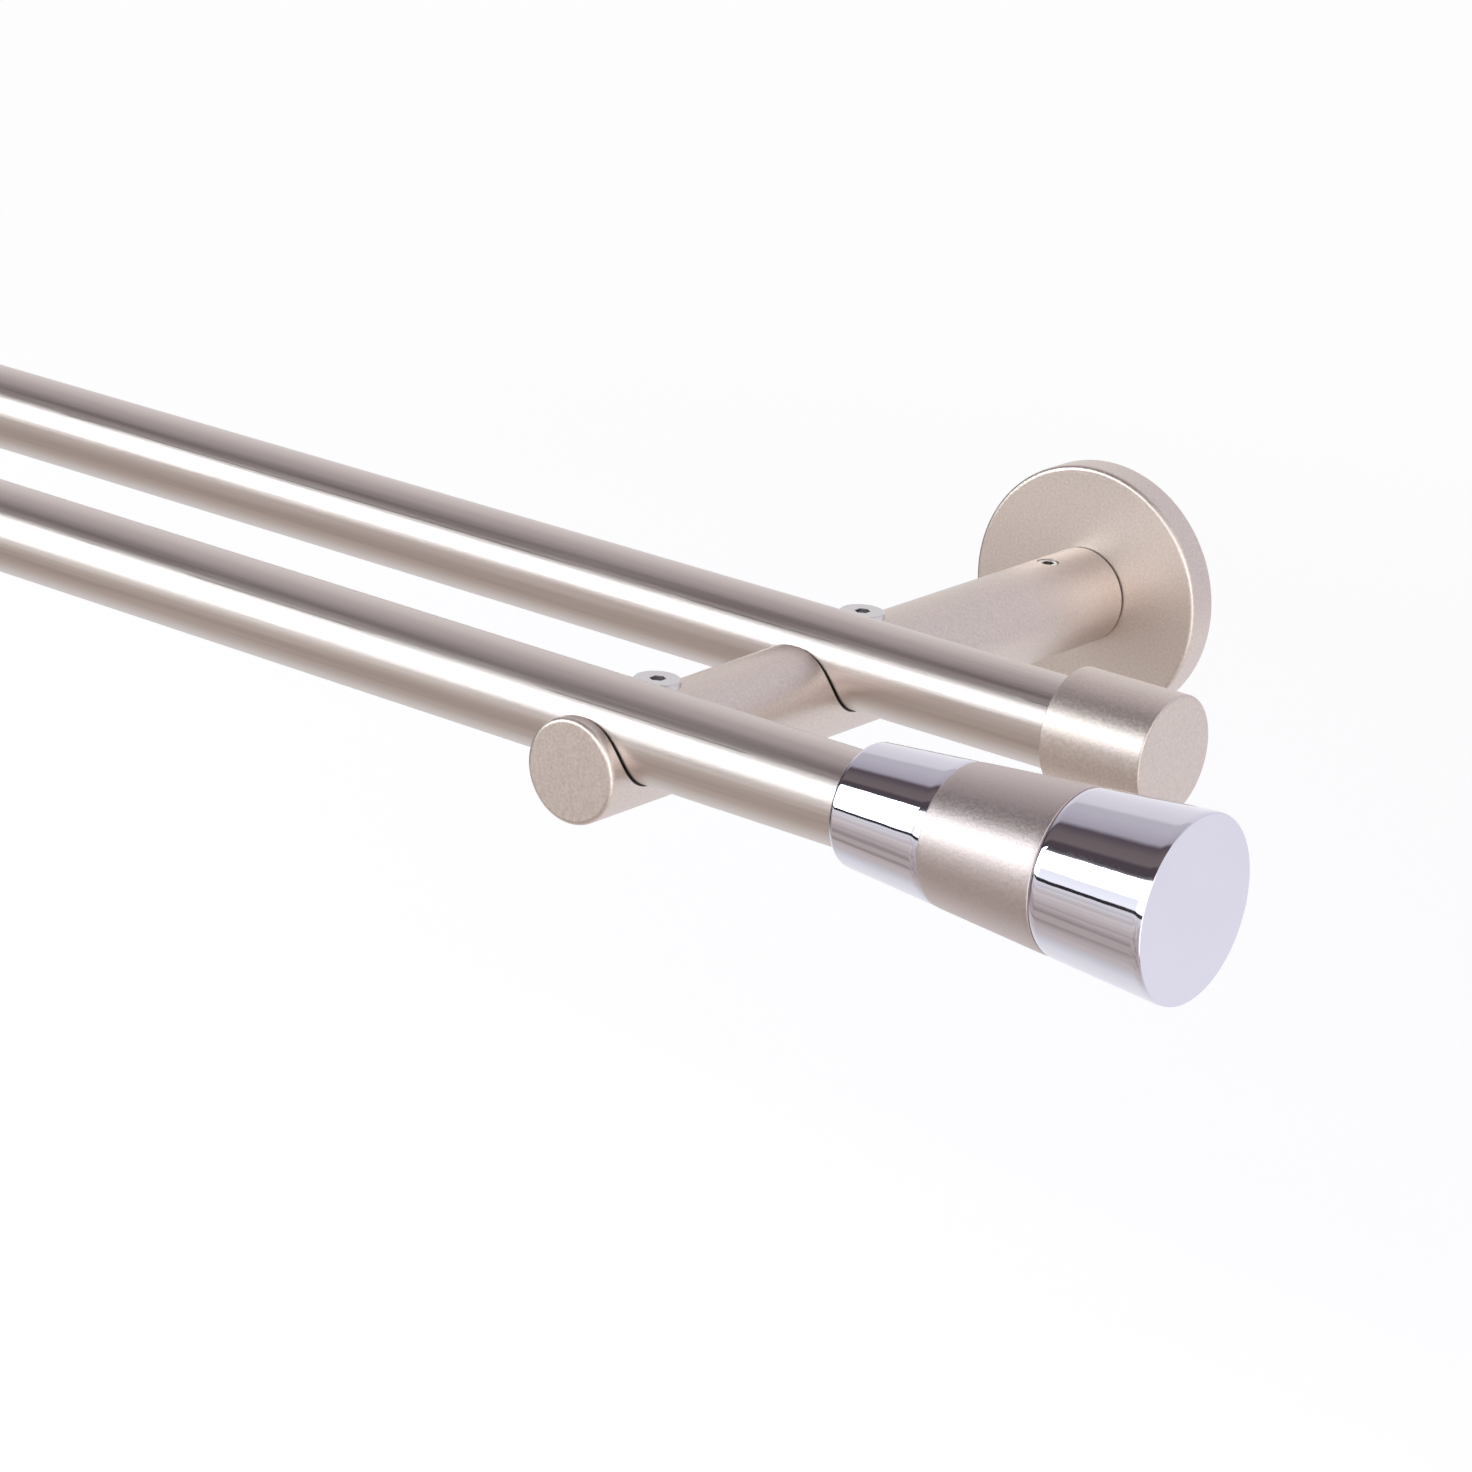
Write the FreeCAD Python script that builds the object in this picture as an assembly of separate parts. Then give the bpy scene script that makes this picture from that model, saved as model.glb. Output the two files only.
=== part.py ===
import FreeCAD, Part
import math
import os

# Double curtain pole: two round tubes, one behind the other, clamped on a pair of wall arms.
# X runs along the poles, the wall is the plane Y = 0 with the room towards -Y, and Z is up.
# The origin lies on the wall, midway between the arms, at the height of their axes. All in mm.

# Poles
POLE_LENGTH = 1200.0
POLE_DIAMETER = 20.0
POLE_WALL = 1.0
POLE_END_CHAMFER = 0.2
POLE_END_BEYOND_ARM = 82.0

# Round arms that stand out from the wall
WALL_TO_REAR_POLE = 109.0
POLE_PITCH = 70.0
ARM_DIAMETER = 22.4
ARM_NOSE = 13.2
ARM_NOSE_ROUNDING = 1.0
ARM_JOINT_CHAMFER = 0.5
POLE_PROUD_OF_ARM = 6.3
NOTCH_CLEARANCE = 0.35

# Plate screwed to the wall, with the spigot that carries the arm
PLATE_DIAMETER = 46.0
PLATE_THICKNESS = 3.0
PLATE_CHAMFER = 0.4
BOSS_DIAMETER = 22.0
SPIGOT_DIAMETER = 16.0
SPIGOT_REACH = 44.0
SPIGOT_TIP_CHAMFER = 0.8
SPIGOT_FLAT_DEPTH = 0.5
SPIGOT_FLAT_LENGTH = 12.0
SPIGOT_CLEARANCE = 0.1
SPIGOT_END_GAP = 2.0
WALL_SCREW_PITCH = 34.0
WALL_SCREW_HOLE = 5.0
WALL_SCREW_SINK = 9.4

# Round cover that hides the wall plate
COVER_DIAMETER = 60.8
COVER_DEPTH = 7.8
COVER_SHEET = 1.2
COVER_ROUNDING = 1.1
COVER_HOLE_CLEARANCE = 0.2

# Grub screw that locks the arm on its spigot
ARM_GRUB_DIAMETER = 5.0
ARM_GRUB_RECESS = 0.4
ARM_GRUB_SOCKET = 2.5
ARM_GRUB_FROM_WALL = 23.8

# Flat-headed screws behind each pole, whose rims hold the pole down in its notch
CLAMP_HEAD_DIAMETER = 10.0
CLAMP_HEAD_HEIGHT = 1.45
CLAMP_HEAD_CHAMFER = 0.25
CLAMP_SHANK_DIAMETER = 5.0
CLAMP_SHANK_LENGTH = 12.0
CLAMP_SHANK_CHAMFER = 0.5
CLAMP_SOCKET = 3.0
CLAMP_SOCKET_DEPTH = 2.4
CLAMP_AXIS_BEHIND_POLE = 3.6
CLAMP_HOLE_SPARE = 2.0

# Conical finial on each end of the front pole: collar, band and end piece
FINIAL_SOCKET_DEPTH = 18.0
FINIAL_COLLAR_WALL = 2.7
FINIAL_COLLAR_LENGTH = 22.8
FINIAL_COLLAR_ROUNDING = 1.6
FINIAL_BAND_LENGTH = 27.0
FINIAL_END_LENGTH = 26.2
FINIAL_END_DIAMETER = 37.8
FINIAL_END_CHAMFER = 0.3
FINIAL_SEAM_CHAMFER = 0.2
FINIAL_STUD_DIAMETER = 8.0
FINIAL_STUD_CLEARANCE = 0.1
FINIAL_STUD_TIP_GAP = 0.5
FINIAL_GRUB_SETBACK = 9.0

# Plain cap on each end of the rear pole
CAP_SOCKET_DEPTH = 16.5
CAP_LENGTH = 24.5
CAP_WALL = 3.1
CAP_FACE_THICKNESS = 3.0
CAP_STOP_STEP = 0.5
CAP_FACE_ROUNDING = 0.6
CAP_MOUTH_CHAMFER = 0.3
CAP_GRUB_SETBACK = 8.0

# Grub screws under the finials and caps
END_GRUB_DIAMETER = 4.0
END_GRUB_RECESS = 0.5
END_GRUB_SOCKET = 2.0

# Fits and fine allowances shared by several pieces
SOCKET_CLEARANCE = 0.05
THREAD_CLEARANCE = 0.05
SEAT_CLEARANCE = 0.02
SOCKET_SHARE_OF_GRUB = 0.55
CUT_OVERLAP = 1.0
MATCH = 1e-6

ALONG = FreeCAD.Vector(1, 0, 0)
ROOM = FreeCAD.Vector(0, -1, 0)
UP = FreeCAD.Vector(0, 0, 1)

# Places worked out from the sizes above
POLE_RADIUS = POLE_DIAMETER / 2
ARM_RADIUS = ARM_DIAMETER / 2
POLE_AXIS_HEIGHT = ARM_RADIUS + POLE_PROUD_OF_ARM - POLE_RADIUS
POLE_OFFSETS = {"rear": WALL_TO_REAR_POLE, "front": WALL_TO_REAR_POLE + POLE_PITCH}
ARM_REACH = POLE_OFFSETS["front"] + ARM_NOSE
ARM_X = POLE_LENGTH / 2 - POLE_END_BEYOND_ARM
SIDES = {"right": 1, "left": -1}


def point(x, out, height):
    """Point at x along the poles, at a distance out of the wall and at a height."""
    return FreeCAD.Vector(x, -out, height)


def rod(diameter, start, end):
    """Solid cylinder between two points."""
    span = end - start
    return Part.makeCylinder(diameter / 2, span.Length, start, span)


def rims(shape, centre, diameter):
    """Round edges of one diameter about one centre."""
    found = []
    for edge in shape.Edges:
        curve = edge.Curve
        if curve.TypeId != "Part::GeomCircle":
            continue
        if abs(2 * curve.Radius - diameter) < MATCH and (curve.Center - centre).Length < MATCH:
            found.append(edge)
    return found


def hex_socket(across_flats, mouth, depth, outward):
    """Hexagonal recess that runs into a screw from its mouth."""
    corner_radius = across_flats / math.sqrt(3)
    corners = []
    for index in range(6):
        angle = math.radians(60 * index)
        corners.append(mouth + ALONG * (corner_radius * math.cos(angle))
                       + ROOM * (corner_radius * math.sin(angle)))
    face = Part.Face(Part.makePolygon(corners + corners[:1]))
    return face.extrude(outward * -depth)


def grub_screw(diameter, length, across_flats, tip, outward):
    """Headless screw with its flat tip at a point and its socket facing outward."""
    mouth = tip + outward * length
    screw = rod(diameter, tip, mouth)
    return screw.cut(hex_socket(across_flats, mouth, length * SOCKET_SHARE_OF_GRUB, outward))


def pole(out):
    """Round tube, open at both ends."""
    half = POLE_LENGTH / 2
    start = point(-half, out, POLE_AXIS_HEIGHT)
    end = point(half, out, POLE_AXIS_HEIGHT)
    solid = rod(POLE_DIAMETER, start, end)
    edges = rims(solid, start, POLE_DIAMETER) + rims(solid, end, POLE_DIAMETER)
    solid = solid.makeChamfer(POLE_END_CHAMFER, edges)
    return solid.cut(rod(POLE_DIAMETER - 2 * POLE_WALL, start, end))


def wall_screw_hole(x, height):
    """Countersunk hole through the wall plate."""
    sink_depth = (WALL_SCREW_SINK - WALL_SCREW_HOLE) / 2
    hole = rod(WALL_SCREW_HOLE, point(x, -CUT_OVERLAP, height),
               point(x, PLATE_THICKNESS + CUT_OVERLAP, height))
    sink = Part.makeCone(WALL_SCREW_HOLE / 2, WALL_SCREW_SINK / 2, sink_depth,
                         point(x, PLATE_THICKNESS - sink_depth, height), ROOM)
    return hole.fuse(sink)


def spigot_flat(x):
    """Block that cuts the flat where the grub screw bears on the spigot."""
    corner = point(x - SPIGOT_DIAMETER / 2, ARM_GRUB_FROM_WALL + SPIGOT_FLAT_LENGTH / 2,
                   SPIGOT_DIAMETER / 2 - SPIGOT_FLAT_DEPTH)
    return Part.makeBox(SPIGOT_DIAMETER, SPIGOT_FLAT_LENGTH, SPIGOT_DIAMETER, corner)


def wall_plate(x):
    """Disc on the wall, with a boss under the cover and a spigot for the arm."""
    centre = point(x, 0, 0)
    rim_centre = point(x, PLATE_THICKNESS, 0)
    tip = point(x, SPIGOT_REACH, 0)
    disc = rod(PLATE_DIAMETER, centre, rim_centre)
    disc = disc.makeChamfer(PLATE_CHAMFER, rims(disc, rim_centre, PLATE_DIAMETER))
    spigot = rod(SPIGOT_DIAMETER, centre, tip)
    spigot = spigot.makeChamfer(SPIGOT_TIP_CHAMFER, rims(spigot, tip, SPIGOT_DIAMETER))
    boss = rod(BOSS_DIAMETER, centre, point(x, COVER_DEPTH - COVER_SHEET, 0))
    plate = disc.fuse([boss, spigot]).cut(spigot_flat(x))
    for height in (-WALL_SCREW_PITCH / 2, WALL_SCREW_PITCH / 2):
        plate = plate.cut(wall_screw_hole(x, height))
    return plate.removeSplitter()


def wall_cover(x):
    """Pressed round cover, open towards the wall, held between the arm and the boss."""
    back = point(x, 0, 0)
    front = point(x, COVER_DEPTH, 0)
    shell = rod(COVER_DIAMETER, back, front)
    shell = shell.makeFillet(COVER_ROUNDING, rims(shell, front, COVER_DIAMETER))
    hollow = rod(COVER_DIAMETER - 2 * COVER_SHEET, back, point(x, COVER_DEPTH - COVER_SHEET, 0))
    hole = rod(SPIGOT_DIAMETER + 2 * COVER_HOLE_CLEARANCE, back, front)
    return shell.cut([hollow, hole])


def pole_notch(x, out):
    """Space that a pole drops into from above: a round bed with upright sides."""
    radius = POLE_RADIUS + NOTCH_CLEARANCE
    height = POLE_AXIS_HEIGHT + NOTCH_CLEARANCE
    bed = rod(2 * radius, point(x - ARM_DIAMETER, out, height), point(x + ARM_DIAMETER, out, height))
    sides = Part.makeBox(2 * ARM_DIAMETER, 2 * radius, ARM_DIAMETER,
                         point(x - ARM_DIAMETER, out + radius, height))
    return bed.fuse(sides)


def clamp_axis_out(out):
    """Distance from the wall to the clamp screw of the pole at a distance out."""
    return out - POLE_RADIUS - CLAMP_AXIS_BEHIND_POLE


def clamp_head_height():
    """Height of the head's underside, where its rim touches the pole's shoulder."""
    reach = POLE_RADIUS + CLAMP_AXIS_BEHIND_POLE - CLAMP_HEAD_DIAMETER / 2
    return POLE_AXIS_HEIGHT + math.sqrt(POLE_RADIUS ** 2 - reach ** 2) + SEAT_CLEARANCE


def clamp_hole(x, out):
    """Tapped hole for a clamp screw."""
    screw_out = clamp_axis_out(out)
    bottom = clamp_head_height() - CLAMP_SHANK_LENGTH - CLAMP_HOLE_SPARE
    return rod(CLAMP_SHANK_DIAMETER + 2 * THREAD_CLEARANCE, point(x, screw_out, bottom),
               point(x, screw_out, ARM_DIAMETER))


def bracket_arm(x):
    """Round arm: bored for the spigot, notched for the poles and tapped for the screws."""
    root = point(x, COVER_DEPTH, 0)
    nose = point(x, ARM_REACH, 0)
    arm = rod(ARM_DIAMETER, root, nose)
    arm = arm.makeFillet(ARM_NOSE_ROUNDING, rims(arm, nose, ARM_DIAMETER))
    arm = arm.makeChamfer(ARM_JOINT_CHAMFER, rims(arm, root, ARM_DIAMETER))
    bore = rod(SPIGOT_DIAMETER + 2 * SPIGOT_CLEARANCE, root, point(x, SPIGOT_REACH + SPIGOT_END_GAP, 0))
    grub_hole = rod(ARM_GRUB_DIAMETER + 2 * THREAD_CLEARANCE, point(x, ARM_GRUB_FROM_WALL, 0),
                    point(x, ARM_GRUB_FROM_WALL, ARM_DIAMETER))
    arm = arm.cut([bore, grub_hole])
    for out in POLE_OFFSETS.values():
        arm = arm.cut([pole_notch(x, out), clamp_hole(x, out)])
    return arm


def arm_grub_screw(x):
    """Headless screw from the arm's top down onto the spigot's flat."""
    tip = point(x, ARM_GRUB_FROM_WALL, SPIGOT_DIAMETER / 2 - SPIGOT_FLAT_DEPTH)
    length = ARM_RADIUS - ARM_GRUB_RECESS - tip.z
    return grub_screw(ARM_GRUB_DIAMETER, length, ARM_GRUB_SOCKET, tip, UP)


def clamp_screw(x, out):
    """Screw with a thin flat head that bears on the pole's shoulder."""
    seat = point(x, clamp_axis_out(out), clamp_head_height())
    top = seat + UP * CLAMP_HEAD_HEIGHT
    tip = seat - UP * CLAMP_SHANK_LENGTH
    head = rod(CLAMP_HEAD_DIAMETER, seat, top)
    head = head.makeChamfer(CLAMP_HEAD_CHAMFER, rims(head, top, CLAMP_HEAD_DIAMETER))
    shank = rod(CLAMP_SHANK_DIAMETER, seat, tip)
    shank = shank.makeChamfer(CLAMP_SHANK_CHAMFER, rims(shank, tip, CLAMP_SHANK_DIAMETER))
    return head.fuse(shank).cut(hex_socket(CLAMP_SOCKET, top, CLAMP_SOCKET_DEPTH, UP))


def end_grub_screw(x, out, outer_radius):
    """Headless screw from below, through a finial or cap, up onto the underside of a pole."""
    tip = point(x, out, POLE_AXIS_HEIGHT - POLE_RADIUS)
    length = outer_radius - POLE_RADIUS - END_GRUB_RECESS
    return grub_screw(END_GRUB_DIAMETER, length, END_GRUB_SOCKET, tip, -UP)


def end_grub_hole(x, out):
    """Tapped hole for the grub screw under a finial or cap."""
    return rod(END_GRUB_DIAMETER + 2 * THREAD_CLEARANCE, point(x, out, POLE_AXIS_HEIGHT),
               point(x, out, POLE_AXIS_HEIGHT - FINIAL_END_DIAMETER))


class Finial:
    """Right-hand conical finial, built from the pole's end outwards."""

    def __init__(self):
        self.out = POLE_OFFSETS["front"]
        self.start_x = POLE_LENGTH / 2 - FINIAL_SOCKET_DEPTH
        self.collar_end = FINIAL_COLLAR_LENGTH
        self.band_end = self.collar_end + FINIAL_BAND_LENGTH
        self.length = self.band_end + FINIAL_END_LENGTH
        self.start_radius = POLE_RADIUS + FINIAL_COLLAR_WALL

    def at(self, distance):
        """Point on the axis at a distance from the finial's start."""
        return point(self.start_x + distance, self.out, POLE_AXIS_HEIGHT)

    def radius(self, distance):
        """Radius of the cone at a distance from its start."""
        slope = (FINIAL_END_DIAMETER / 2 - self.start_radius) / self.length
        return self.start_radius + slope * distance

    def slice(self, begin, end):
        """Piece of the cone between two distances."""
        return Part.makeCone(self.radius(begin), self.radius(end), end - begin, self.at(begin), ALONG)

    def edge(self, shape, distance):
        """Outer round edge of a slice at a distance."""
        return rims(shape, self.at(distance), 2 * self.radius(distance))

    def collar(self):
        """Ring that fits over the pole, with a tapped floor for the stud."""
        collar = self.slice(0, self.collar_end)
        collar = collar.makeFillet(FINIAL_COLLAR_ROUNDING, self.edge(collar, 0))
        collar = collar.makeChamfer(FINIAL_SEAM_CHAMFER, self.edge(collar, self.collar_end))
        socket = rod(POLE_DIAMETER + 2 * SOCKET_CLEARANCE, self.at(0), self.at(FINIAL_SOCKET_DEPTH))
        stud_hole = rod(FINIAL_STUD_DIAMETER + 2 * THREAD_CLEARANCE, self.at(0), self.at(self.collar_end))
        grub_hole = end_grub_hole(self.start_x + FINIAL_GRUB_SETBACK, self.out)
        return collar.cut([socket, stud_hole, grub_hole])

    def band(self):
        """Middle band, clamped between the collar and the end piece."""
        band = self.slice(self.collar_end, self.band_end)
        seams = self.edge(band, self.collar_end) + self.edge(band, self.band_end)
        band = band.makeChamfer(FINIAL_SEAM_CHAMFER, seams)
        hole = rod(FINIAL_STUD_DIAMETER + 2 * FINIAL_STUD_CLEARANCE, self.at(self.collar_end),
                   self.at(self.band_end))
        return band.cut(hole)

    def end(self):
        """Wide end piece, with the stud that holds the finial together."""
        end = self.slice(self.band_end, self.length)
        end = end.makeChamfer(FINIAL_SEAM_CHAMFER, self.edge(end, self.band_end))
        end = end.makeChamfer(FINIAL_END_CHAMFER, self.edge(end, self.length))
        stud_tip = self.at(FINIAL_SOCKET_DEPTH + FINIAL_STUD_TIP_GAP)
        stud = rod(FINIAL_STUD_DIAMETER, stud_tip, self.at(self.band_end))
        return end.fuse(stud)

    def pieces(self):
        """Named pieces of the finial."""
        grub_x = self.start_x + FINIAL_GRUB_SETBACK
        return {
            "finial_collar": self.collar(),
            "finial_band": self.band(),
            "finial_end": self.end(),
            "finial_grub_screw": end_grub_screw(grub_x, self.out, self.radius(FINIAL_GRUB_SETBACK)),
        }


class EndCap:
    """Right-hand cap: a plain cylinder with a stepped socket for the rear pole."""

    def __init__(self):
        self.out = POLE_OFFSETS["rear"]
        self.radius = POLE_RADIUS + CAP_WALL
        self.mouth = point(POLE_LENGTH / 2 - CAP_SOCKET_DEPTH, self.out, POLE_AXIS_HEIGHT)
        self.grub_x = self.mouth.x + CAP_GRUB_SETBACK

    def cap(self):
        """Cylinder with its socket, the stop for the pole's end and the grub screw's hole."""
        face = self.mouth + ALONG * CAP_LENGTH
        cap = rod(2 * self.radius, self.mouth, face)
        cap = cap.makeFillet(CAP_FACE_ROUNDING, rims(cap, face, 2 * self.radius))
        cap = cap.makeChamfer(CAP_MOUTH_CHAMFER, rims(cap, self.mouth, 2 * self.radius))
        stop = self.mouth + ALONG * CAP_SOCKET_DEPTH
        socket = rod(POLE_DIAMETER + 2 * SOCKET_CLEARANCE, self.mouth, stop)
        relief = rod(POLE_DIAMETER - 2 * (POLE_WALL + CAP_STOP_STEP), self.mouth,
                     face - ALONG * CAP_FACE_THICKNESS)
        return cap.cut([socket, relief, end_grub_hole(self.grub_x, self.out)])

    def pieces(self):
        """Named pieces at the right-hand end of the rear pole."""
        return {
            "end_cap": self.cap(),
            "end_cap_grub_screw": end_grub_screw(self.grub_x, self.out, self.radius),
        }


def bracket_pieces(x):
    """Named pieces of one wall bracket."""
    pieces = {
        "wall_plate": wall_plate(x),
        "wall_cover": wall_cover(x),
        "bracket_arm": bracket_arm(x),
        "arm_grub_screw": arm_grub_screw(x),
    }
    for place, out in POLE_OFFSETS.items():
        pieces[place + "_clamp_screw"] = clamp_screw(x, out)
    return pieces


def on_side(shape, side):
    """Copy of a right-hand piece for either side."""
    if side > 0:
        return shape
    return shape.mirror(FreeCAD.Vector(0, 0, 0), ALONG)


def all_pieces():
    """Every piece of the double curtain pole by name."""
    pieces = {}
    for place, out in POLE_OFFSETS.items():
        pieces[place + "_pole"] = pole(out)
    end_pieces = {**Finial().pieces(), **EndCap().pieces()}
    for side_name, side in SIDES.items():
        for name, shape in bracket_pieces(side * ARM_X).items():
            pieces[side_name + "_" + name] = shape
        for name, shape in end_pieces.items():
            pieces[side_name + "_" + name] = on_side(shape, side)
    return pieces


def main():
    os.makedirs("parts", exist_ok=True)
    for name, shape in all_pieces().items():
        shape.exportStep("parts/" + name + ".step")
        print(name, len(shape.Solids), "solid", round(shape.Volume), "mm3", "valid", shape.isValid())


main()
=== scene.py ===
import logging
import math
from collections.abc import Iterable
from dataclasses import dataclass, field
from enum import Enum

import bpy
from mathutils import Matrix, Vector


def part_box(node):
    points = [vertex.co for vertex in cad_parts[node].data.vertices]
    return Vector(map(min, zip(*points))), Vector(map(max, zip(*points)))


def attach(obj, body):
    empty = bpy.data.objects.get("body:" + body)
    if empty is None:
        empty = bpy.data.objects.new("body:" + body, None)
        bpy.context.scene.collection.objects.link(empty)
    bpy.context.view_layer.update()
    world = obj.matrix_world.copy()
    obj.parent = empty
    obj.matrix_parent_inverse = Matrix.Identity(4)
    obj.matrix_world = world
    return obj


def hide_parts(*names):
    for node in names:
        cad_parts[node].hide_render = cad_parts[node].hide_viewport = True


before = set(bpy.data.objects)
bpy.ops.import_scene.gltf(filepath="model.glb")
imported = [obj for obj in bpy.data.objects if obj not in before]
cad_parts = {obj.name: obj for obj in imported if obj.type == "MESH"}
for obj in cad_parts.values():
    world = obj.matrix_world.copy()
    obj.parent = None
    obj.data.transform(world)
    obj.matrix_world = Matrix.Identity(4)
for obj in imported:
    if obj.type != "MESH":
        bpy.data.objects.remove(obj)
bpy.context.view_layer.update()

# Double curtain pole, seen on a white sweep under one long soft light. Sizes are in millimetres
# until a piece is turned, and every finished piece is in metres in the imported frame.

LOG = logging.getLogger("double_curtain_pole")
MM = 0.001
BODY = "root"


class Slot(Enum):
    """Material slots of the record."""

    SATIN = "satin_nickel"
    CHROME = "chrome_plate"
    SCREW = "nickel_plated_screw"
    ZINC = "zinc_plated_steel"


class Side(Enum):
    """Ends of the pole, with the turn about Z that points a piece outwards there."""

    RIGHT = 0.0
    LEFT = math.pi

    @property
    def label(self) -> str:
        """First word of the names of the pieces at this end."""
        return self.name.lower()


class Facing(Enum):
    """Turns that point a piece made along X another way."""

    OUTWARD_RIGHT = (0.0, 0.0, 0.0)
    OUTWARD_LEFT = (0.0, 0.0, math.pi)
    UP = (0.0, -math.pi / 2, 0.0)
    DOWN = (0.0, math.pi / 2, 0.0)


def linear(code: str) -> tuple[float, float, float, float]:
    """Turns an sRGB hex colour to linear light.

    Args:
        code: Colour such as "#C0B4AB".

    Returns:
        Linear red, green and blue, with an alpha of 1.
    """
    shades = []
    for start in (1, 3, 5):
        share = int(code[start:start + 2], 16) / 255
        shades.append(share / 12.92 if share <= 0.04045 else ((share + 0.055) / 1.055) ** 2.4)
    return (*shades, 1.0)


def add_node(tree: bpy.types.NodeTree, kind: str, links: dict | None = None, **settings) -> bpy.types.Node:
    """Adds a node with its settings and links.

    Args:
        tree: Tree that takes the node.
        kind: Blender's name for the type of node.
        links: Input name or number to an output socket, or to a plain value.
        **settings: Properties of the node.

    Returns:
        The new node.
    """
    node = tree.nodes.new(kind)
    for name, value in settings.items():
        setattr(node, name, value)
    for key, source in (links or {}).items():
        if isinstance(source, bpy.types.NodeSocket):
            tree.links.new(source, node.inputs[key])
        else:
            node.inputs[key].default_value = source
    return node


# Finishes


@dataclass(frozen=True)
class Finish:
    """Metal finish: a colour that varies a little over fine grain, and a gloss that varies with it.

    Attributes:
        title: Common name of the material.
        slot: Slot of the record that the finish stands for.
        pale: Colour of the lighter patches.
        deep: Colour of the darker patches.
        rough: Lowest and highest roughness.
        patch: Size of the patches in millimetres.
        grain: Size of the surface grain in millimetres.
        relief: Height of the grain in millimetres.
    """

    title: str
    slot: Slot
    pale: str
    deep: str
    rough: tuple[float, float]
    patch: float
    grain: float
    relief: float

    def coordinates(self, tree: bpy.types.NodeTree, spacing: tuple[float, float, float]) -> bpy.types.NodeSocket:
        """Object coordinates counted in steps of a spacing in millimetres.

        Args:
            tree: Material's tree.
            spacing: Step along X, Y and Z.

        Returns:
            Socket with the scaled coordinates.
        """
        place = add_node(tree, "ShaderNodeTexCoord").outputs["Object"]
        scale = tuple(1 / (step * MM) for step in spacing)
        return add_node(tree, "ShaderNodeMapping", {"Vector": place, "Scale": scale}).outputs["Vector"]

    def noise(self, tree: bpy.types.NodeTree, spacing: tuple[float, float, float], detail: float) -> bpy.types.NodeSocket:
        """Noise whose steps have a real size.

        Args:
            tree: Material's tree.
            spacing: Step along X, Y and Z in millimetres.
            detail: Number of finer layers.

        Returns:
            Socket with the noise.
        """
        place = self.coordinates(tree, spacing)
        texture = add_node(tree, "ShaderNodeTexNoise", {"Vector": place, "Scale": 1.0, "Detail": detail})
        return texture.outputs["Fac"]

    def height(self, tree: bpy.types.NodeTree) -> bpy.types.NodeSocket:
        """Height of the surface, from 0 to 1 of the relief."""
        return self.noise(tree, (self.grain,) * 3, 2.0)

    def gloss(self, tree: bpy.types.NodeTree) -> bpy.types.NodeSocket:
        """Pattern from 0 to 1 that moves the colour and the roughness together."""
        return self.noise(tree, (self.patch,) * 3, 3.0)

    def colour(self, tree: bpy.types.NodeTree, pattern: bpy.types.NodeSocket) -> bpy.types.NodeSocket:
        """Colour between the deep and the pale one.

        Args:
            tree: Material's tree.
            pattern: Share of the pale colour.

        Returns:
            Socket with the colour.
        """
        return add_node(tree, "ShaderNodeMix", {0: pattern, 6: linear(self.deep), 7: linear(self.pale)},
                        data_type="RGBA").outputs[2]

    def material(self) -> bpy.types.Material:
        """Builds the material."""
        made = bpy.data.materials.new(self.title)
        made.use_nodes = True
        tree = made.node_tree
        tree.nodes.clear()
        pattern = self.gloss(tree)
        rough = add_node(tree, "ShaderNodeMapRange", {
            "Value": pattern, "From Min": 0.3, "From Max": 0.7,
            "To Min": self.rough[0], "To Max": self.rough[1]})
        bump = add_node(tree, "ShaderNodeBump", {
            "Height": self.height(tree), "Strength": 1.0, "Distance": self.relief * MM})
        shader = add_node(tree, "ShaderNodeBsdfPrincipled", {
            "Base Color": self.colour(tree, pattern), "Metallic": 1.0,
            "Roughness": rough.outputs["Result"], "Normal": bump.outputs["Normal"]})
        add_node(tree, "ShaderNodeOutputMaterial", {"Surface": shader.outputs["BSDF"]})
        return made


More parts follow.
